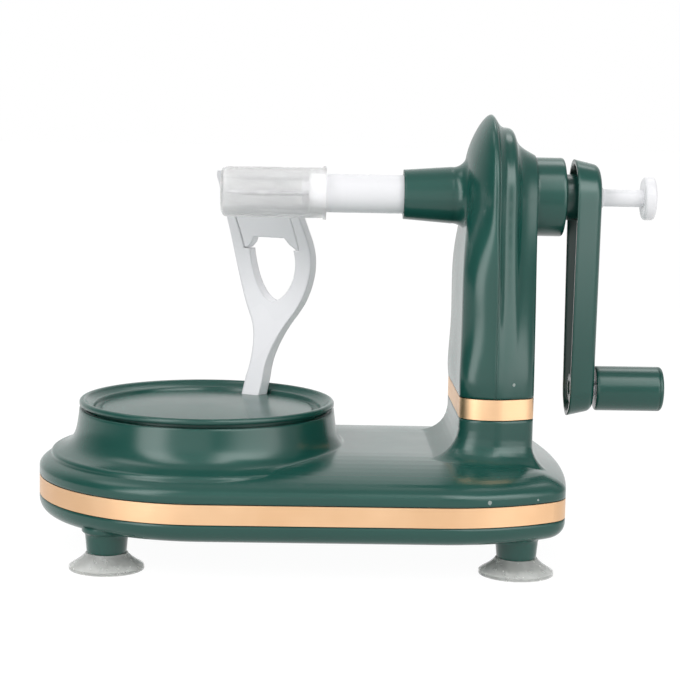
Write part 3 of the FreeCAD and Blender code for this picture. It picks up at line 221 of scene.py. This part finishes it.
# What glossy plastic mirrors in the studio: (heading, strength) pairs for four belts of height.
# A heading is in degrees from the viewer's side, negative to the left; 1 is white.
WORLD_LIGHT = 0.62
FLOOR_MIRROR = 1.05
FLOOR_GLOW = 1.07
FLOOR_GLOW_SHARE = 0.9
FLOOR_HALF_WIDTH = 6.0
COLUMN_X = 0.06
CARDS_FROM_Y = -0.40
CARDS_FULL_Y = -0.50
BELT_BLUR = 4.0
BELT_TOPS = (22.0, 48.0, 68.0)
BELT_SCALE = 8.0
BELTS = (
    ((-180, 0.97), (-177.5, 0.82), (-150, 1.0), (-120, 0.5), (-100, 0.15), (-64, 0.15), (-56, 4.2),
     (-38, 4.8), (-28, 1.4), (4, 1.4), (9, 0.35), (13, 0.4), (22, 1.2), (28, 2.4), (34, 3.0), (64, 3.6),
     (72, 1.2), (80, 0.6), (100, 0.4), (130, 0.5), (155, 0.8), (168, 1.3), (177, 1.2), (180, 0.97)),
    ((-180, 1.1), (-150, 1.0), (-120, 0.4), (-100, 0.2), (-62, 0.3), (-54, 5.4), (-36, 5.4), (-27, 1.0),
     (5, 0.9), (9, 1.6), (13, 3.2), (17, 5.6), (45, 5.4), (60, 4.4), (70, 1.2), (80, 0.5), (100, 0.4),
     (130, 0.6), (160, 1.1), (180, 1.1)),
    ((-180, 0.9), (-135, 0.6), (-126, 2.2), (-100, 2.2), (-90, 0.4), (-66, 0.7), (-56, 3.8), (-34, 3.8),
     (-24, 0.8), (5, 0.8), (9, 1.6), (13, 3.6), (17, 6.0), (27, 6.0), (33, 0.6), (90, 0.4), (134, 0.5),
     (142, 3.8), (168, 3.8), (174, 0.9), (180, 0.9)),
    ((-180, 0.65), (180, 0.65)),
)


def belt(tree, heading, stops):
    """Strength at a heading, from straight stretches between the stops."""
    ramp = tree.nodes.new("ShaderNodeValToRGB")
    points = ramp.color_ramp.elements
    for index, (angle, strength) in enumerate(stops):
        place = (angle + 180.0) / 360.0
        if index < 2:
            points[index].position = place
        else:
            points.new(place)
        share = strength / BELT_SCALE
        points[index].color = (share, share, share, 1.0)
    tree.links.new(spread(tree, heading, -math.pi, math.pi, 0.0, 1.0), ramp.inputs["Fac"])
    return calculate(tree, "MULTIPLY", ramp.outputs["Color"], BELT_SCALE)


def heading_of(tree, x, y):
    return calculate(tree, "ARCTAN2", x, calculate(tree, "MULTIPLY", y, -1.0))


def glow_of(tree, strength):
    glow = tree.nodes.new("ShaderNodeEmission")
    glow.inputs["Color"].default_value = (1, 1, 1, 1)
    if isinstance(strength, float):
        glow.inputs["Strength"].default_value = strength
    else:
        tree.links.new(strength, glow.inputs["Strength"])
    return glow.outputs["Emission"]


def mix_shaders(tree, share, first, second):
    mix = tree.nodes.new("ShaderNodeMixShader")
    tree.links.new(share, mix.inputs["Fac"])
    tree.links.new(first, mix.inputs[1])
    tree.links.new(second, mix.inputs[2])
    return mix.outputs["Shader"]


def add_floor():
    """White to the camera but for the object's shadow; its mirror image carries the cards' feet."""
    mesh = bpy.data.meshes.new("floor")
    half = FLOOR_HALF_WIDTH
    corners = [(-half, -half, 0), (half, -half, 0), (half, half, 0), (-half, half, 0)]
    mesh.from_pydata(corners, [], [(0, 1, 2, 3)])
    floor = bpy.data.objects.new("floor", mesh)
    bpy.context.scene.collection.objects.link(floor)
    material, tree, shader = new_tree("floor_white")
    shader.inputs["Base Color"].default_value = (0.9, 0.9, 0.9, 1)
    shader.inputs["Roughness"].default_value = 0.9
    shader.inputs["Specular IOR Level"].default_value = 0.0
    path = tree.nodes.new("ShaderNodeLightPath")
    where = tree.nodes.new("ShaderNodeTexCoord")
    place = tree.nodes.new("ShaderNodeSeparateXYZ")
    tree.links.new(where.outputs["Object"], place.inputs["Vector"])
    from_column = calculate(tree, "SUBTRACT", place.outputs["X"], COLUMN_X)
    cards = belt(tree, heading_of(tree, from_column, place.outputs["Y"]), BELTS[0])
    far = spread(tree, place.outputs["Y"], CARDS_FROM_Y, CARDS_FULL_Y, 0.0, 1.0)
    extra = calculate(tree, "MULTIPLY", far, calculate(tree, "SUBTRACT", cards, FLOOR_MIRROR))
    mirrored = glow_of(tree, calculate(tree, "ADD", extra, FLOOR_MIRROR))
    direct = calculate(tree, "MAXIMUM", path.outputs["Is Camera Ray"], path.outputs["Is Transmission Ray"])
    seen = mix_shaders(tree, calculate(tree, "MULTIPLY", direct, FLOOR_GLOW_SHARE),
                       shader.outputs["BSDF"], glow_of(tree, FLOOR_GLOW))
    surface = mix_shaders(tree, path.outputs["Is Glossy Ray"], seen, mirrored)
    output = next(node for node in tree.nodes if node.type == "OUTPUT_MATERIAL")
    tree.links.new(surface, output.inputs["Surface"])
    mesh.materials.append(material)


def add_world():
    """White to the camera, soft light on the object, and the studio's cards in its gloss."""
    world = bpy.data.worlds.new("studio")
    world.use_nodes = True
    tree = world.node_tree
    tree.nodes.clear()
    output = tree.nodes.new("ShaderNodeOutputWorld")
    path = tree.nodes.new("ShaderNodeLightPath")
    where = tree.nodes.new("ShaderNodeTexCoord")
    look = tree.nodes.new("ShaderNodeSeparateXYZ")
    tree.links.new(where.outputs["Generated"], look.inputs["Vector"])
    heading = heading_of(tree, look.outputs["X"], look.outputs["Y"])
    strength = belt(tree, heading, BELTS[0])
    for top, stops in zip(BELT_TOPS, BELTS[1:]):
        low = math.sin(math.radians(top - BELT_BLUR))
        high = math.sin(math.radians(top + BELT_BLUR))
        above = spread(tree, look.outputs["Z"], low, high, 0.0, 1.0)
        change = calculate(tree, "SUBTRACT", belt(tree, heading, stops), strength)
        strength = calculate(tree, "ADD", strength, calculate(tree, "MULTIPLY", above, change))
    direct = calculate(tree, "MAXIMUM", path.outputs["Is Camera Ray"], path.outputs["Is Transmission Ray"])
    soft = calculate(tree, "ADD", WORLD_LIGHT, calculate(tree, "MULTIPLY", direct, 1.0 - WORLD_LIGHT))
    change = calculate(tree, "SUBTRACT", strength, soft)
    mirrored = calculate(tree, "MULTIPLY", path.outputs["Is Glossy Ray"], change)
    shader = tree.nodes.new("ShaderNodeBackground")
    shader.inputs["Color"].default_value = (1, 1, 1, 1)
    tree.links.new(calculate(tree, "ADD", soft, mirrored), shader.inputs["Strength"])
    tree.links.new(shader.outputs["Background"], output.inputs["Surface"])
    world.cycles.sampling_method = "NONE"
    bpy.context.scene.world = world


def add_lamp(name, place, aim, size, power):
    lamp = bpy.data.lights.new(name, "AREA")
    lamp.shape = "RECTANGLE"
    lamp.size = size[0]
    lamp.size_y = size[1]
    lamp.energy = power
    obj = bpy.data.objects.new(name, lamp)
    obj.location = place
    obj.rotation_euler = (Vector(aim) - Vector(place)).to_track_quat("-Z", "Y").to_euler()
    obj.visible_camera = False
    obj.visible_glossy = False
    bpy.context.scene.collection.objects.link(obj)


def add_camera():
    """The camera that was fitted to the photograph's round and straight edges."""
    eye = Vector((-0.0239735, -0.793492, 0.190595))
    yaw = math.radians(1.3375)
    tilt = math.radians(7.3804)
    roll = math.radians(1.0891)
    forward = Vector((math.sin(yaw) * math.cos(tilt), math.cos(yaw) * math.cos(tilt), -math.sin(tilt)))
    right = forward.cross(UP).normalized()
    upward = right.cross(forward)
    x_axis = math.cos(roll) * right + math.sin(roll) * upward
    y_axis = math.cos(roll) * upward - math.sin(roll) * right
    turn = Matrix((x_axis, y_axis, -forward)).transposed().to_4x4()
    camera = bpy.data.objects.new("camera", bpy.data.cameras.new("camera"))
    camera.data.sensor_width = 36.0
    camera.data.lens = 100.59
    camera.matrix_world = Matrix.Translation(eye) @ turn
    bpy.context.scene.collection.objects.link(camera)
    bpy.context.scene.camera = camera


add_floor()
add_world()
add_lamp("key_left", (-0.9, -0.75, 0.95), (0, 0, 0.08), (0.8, 0.8), 6.5)
add_lamp("key_right", (0.7, -1.0, 0.6), (0.05, 0, 0.1), (0.7, 0.7), 3.5)
add_lamp("top", (0.0, 0.25, 1.2), (0, 0, 0.05), (1.1, 1.1), 2.0)
add_camera()
bpy.context.scene.view_settings.view_transform = "Standard"
